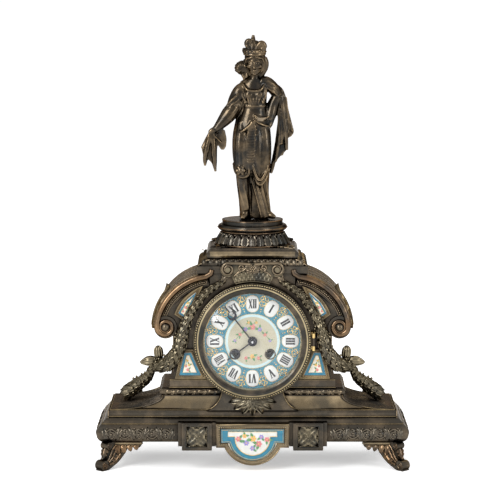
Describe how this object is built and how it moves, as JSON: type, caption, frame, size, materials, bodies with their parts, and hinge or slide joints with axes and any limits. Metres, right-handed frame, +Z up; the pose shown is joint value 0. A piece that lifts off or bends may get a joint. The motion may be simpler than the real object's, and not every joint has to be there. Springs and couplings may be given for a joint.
{
  "type": "figural mantel clock",
  "caption": "Bronze mantel clock with a standing draped figure, porcelain dial and plaques, laurel garlands, scroll arches and a striking spring movement.",
  "frame": {"origin": "on the table under the middle of the four feet", "axes": "+Z up, +X to the right of the dial, the dial faces -Y"},
  "size_m": [0.3152, 0.1252, 0.433],
  "materials": {
    "bronze": "dark patina, rubbed bright on the high spots",
    "gilt_bronze": "worn gilding",
    "blue_porcelain": "gloss glaze",
    "dial_porcelain": "gloss glaze",
    "glass": "clear",
    "blued_steel": "blued",
    "steel": "polished",
    "brass": "lacquered",
    "bell_metal": "turned"
  },
  "bodies": {
    "case": {"apron_frame": "gilt_bronze", "apron_plaque": "blue_porcelain", "back_plate": "brass", "bell": "bell_metal", "case_body": "bronze", "casing_ring": "brass", "casing_straps": "brass", "console": "bronze", "crest": "bronze", "dial": "dial_porcelain", "feet": "bronze", "figure_body": "bronze", "figure_bolt": "steel", "figure_cloth": "bronze", "figure_head": "bronze", "figure_left_arm": "bronze", "figure_right_arm": "bronze", "figure_veil": "bronze", "foot_screws": "steel", "front_plate": "brass", "garland_left": "bronze", "garland_right": "bronze", "leaf_pendant": "bronze", "neck_block": "bronze", "pedestal": "bronze", "plaque_frames": "gilt_bronze", "plate_pillars": "brass", "plinth": "bronze", "rear_ring": "brass", "rosette_blocks": "bronze", "rosettes": "bronze", "scroll_left": "bronze", "scroll_right": "bronze", "shoulder_stage": "bronze", "side_plaques": "blue_porcelain", "suspension_block": "steel"},
    "bezel": {"bezel_door": "bronze", "bezel_glass": "glass"},
    "rear_door": {"rear_door": "brass"},
    "hands": {"cannon_pinion": "brass", "minute_hand": "blued_steel", "hand_nut": "blued_steel"},
    "minute_wheel": {"minute_wheel": "brass"},
    "hour_hand": {"hour_wheel": "brass", "hour_hand": "blued_steel"},
    "third_wheel": {"third_wheel": "brass"},
    "centre_wheel": {"centre_wheel": "brass"},
    "intermediate_wheel": {"intermediate_wheel": "brass"},
    "going_barrel": {"going_barrel": "brass"},
    "escape_wheel": {"escape_wheel": "brass"},
    "pendulum": {"pendulum": "brass"},
    "anchor": {"anchor": "steel"},
    "pin_wheel": {"pin_wheel": "brass"},
    "strike_intermediate_wheel": {"strike_intermediate_wheel": "brass"},
    "strike_barrel": {"strike_barrel": "brass"},
    "fly": {"fly": "brass"},
    "going_winding_arbor": {"going_winding_arbor": "steel"},
    "strike_winding_arbor": {"strike_winding_arbor": "steel"},
    "hammer": {"hammer": "steel"}
  },
  "joints": [
    {"name": "bezel_hinge", "type": "hinge", "parent": "case", "child": "bezel", "pos_m": [0.0609, -0.05, 0.129], "axis": [0, 0, 1], "range_deg": [0, 95]},
    {"name": "rear_door_hinge", "type": "hinge", "parent": "case", "child": "rear_door", "pos_m": [0.0558, 0.0442, 0.129], "axis": [0, 0, -1], "range_deg": [0, 110]},
    {"name": "minute_hand_turn", "type": "hinge", "parent": "case", "child": "hands", "pos_m": [0, 0, 0.129], "axis": [0, -1, 0], "continuous": true},
    {"name": "minute_wheel_turn", "type": "hinge", "parent": "case", "child": "minute_wheel", "pos_m": [0, 0, 0.1411], "axis": [0, -1, 0], "continuous": true},
    {"name": "hour_hand_turn", "type": "hinge", "parent": "case", "child": "hour_hand", "pos_m": [0, 0, 0.129], "axis": [0, -1, 0], "continuous": true},
    {"name": "third_wheel_turn", "type": "hinge", "parent": "case", "child": "third_wheel", "pos_m": [-0.00666, 0, 0.14349], "axis": [0, -1, 0], "continuous": true},
    {"name": "centre_wheel_turn", "type": "hinge", "parent": "case", "child": "centre_wheel", "pos_m": [0, 0, 0.129], "axis": [0, -1, 0], "continuous": true},
    {"name": "intermediate_wheel_turn", "type": "hinge", "parent": "case", "child": "intermediate_wheel", "pos_m": [0.01708, 0, 0.13469], "axis": [0, -1, 0], "continuous": true},
    {"name": "going_barrel_turn", "type": "hinge", "parent": "case", "child": "going_barrel", "pos_m": [0.0177, 0, 0.1158], "axis": [0, -1, 0], "continuous": true},
    {"name": "escape_wheel_turn", "type": "hinge", "parent": "case", "child": "escape_wheel", "pos_m": [0, 0, 0.155], "axis": [0, -1, 0], "continuous": true},
    {"name": "pendulum_swing", "type": "hinge", "parent": "case", "child": "pendulum", "pos_m": [0, 0.011, 0.1676], "axis": [0, -1, 0], "range_deg": [-4, 4]},
    {"name": "anchor_swing", "type": "hinge", "parent": "case", "child": "anchor", "pos_m": [0, 0, 0.1676], "axis": [0, -1, 0], "range_deg": [-4, 4]},
    {"name": "pin_wheel_turn", "type": "hinge", "parent": "case", "child": "pin_wheel", "pos_m": [-0.0255, 0, 0.1366], "axis": [0, -1, 0], "continuous": true},
    {"name": "strike_intermediate_turn", "type": "hinge", "parent": "case", "child": "strike_intermediate_wheel", "pos_m": [-0.0311, 0, 0.1291], "axis": [0, -1, 0], "continuous": true},
    {"name": "strike_barrel_turn", "type": "hinge", "parent": "case", "child": "strike_barrel", "pos_m": [-0.0177, 0, 0.1158], "axis": [0, -1, 0], "continuous": true},
    {"name": "fly_turn", "type": "hinge", "parent": "case", "child": "fly", "pos_m": [-0.02274, 0, 0.144], "axis": [0, -1, 0], "continuous": true},
    {"name": "going_winding", "type": "hinge", "parent": "case", "child": "going_winding_arbor", "pos_m": [0.0177, 0, 0.1158], "axis": [0, -1, 0], "continuous": true},
    {"name": "strike_winding", "type": "hinge", "parent": "case", "child": "strike_winding_arbor", "pos_m": [-0.0177, 0, 0.1158], "axis": [0, -1, 0], "continuous": true},
    {"name": "hammer_lift", "type": "hinge", "parent": "case", "child": "hammer", "pos_m": [-0.03, 0, 0.1495], "axis": [0, -1, 0], "range_deg": [0, 10]}
  ],
  "couplings": [
    {"joint": "minute_wheel_turn", "follows": "minute_hand_turn", "ratio": -0.33333},
    {"joint": "hour_hand_turn", "follows": "minute_hand_turn", "ratio": 0.083333},
    {"joint": "centre_wheel_turn", "follows": "third_wheel_turn", "ratio": -0.1},
    {"joint": "intermediate_wheel_turn", "follows": "third_wheel_turn", "ratio": 0.02},
    {"joint": "going_barrel_turn", "follows": "third_wheel_turn", "ratio": -0.0033333},
    {"joint": "escape_wheel_turn", "follows": "third_wheel_turn", "ratio": -10},
    {"joint": "anchor_swing", "follows": "pendulum_swing", "ratio": 1},
    {"joint": "strike_intermediate_turn", "follows": "pin_wheel_turn", "ratio": -0.14815},
    {"joint": "strike_barrel_turn", "follows": "pin_wheel_turn", "ratio": 0.024691},
    {"joint": "fly_turn", "follows": "pin_wheel_turn", "ratio": -5.5}
  ]
}
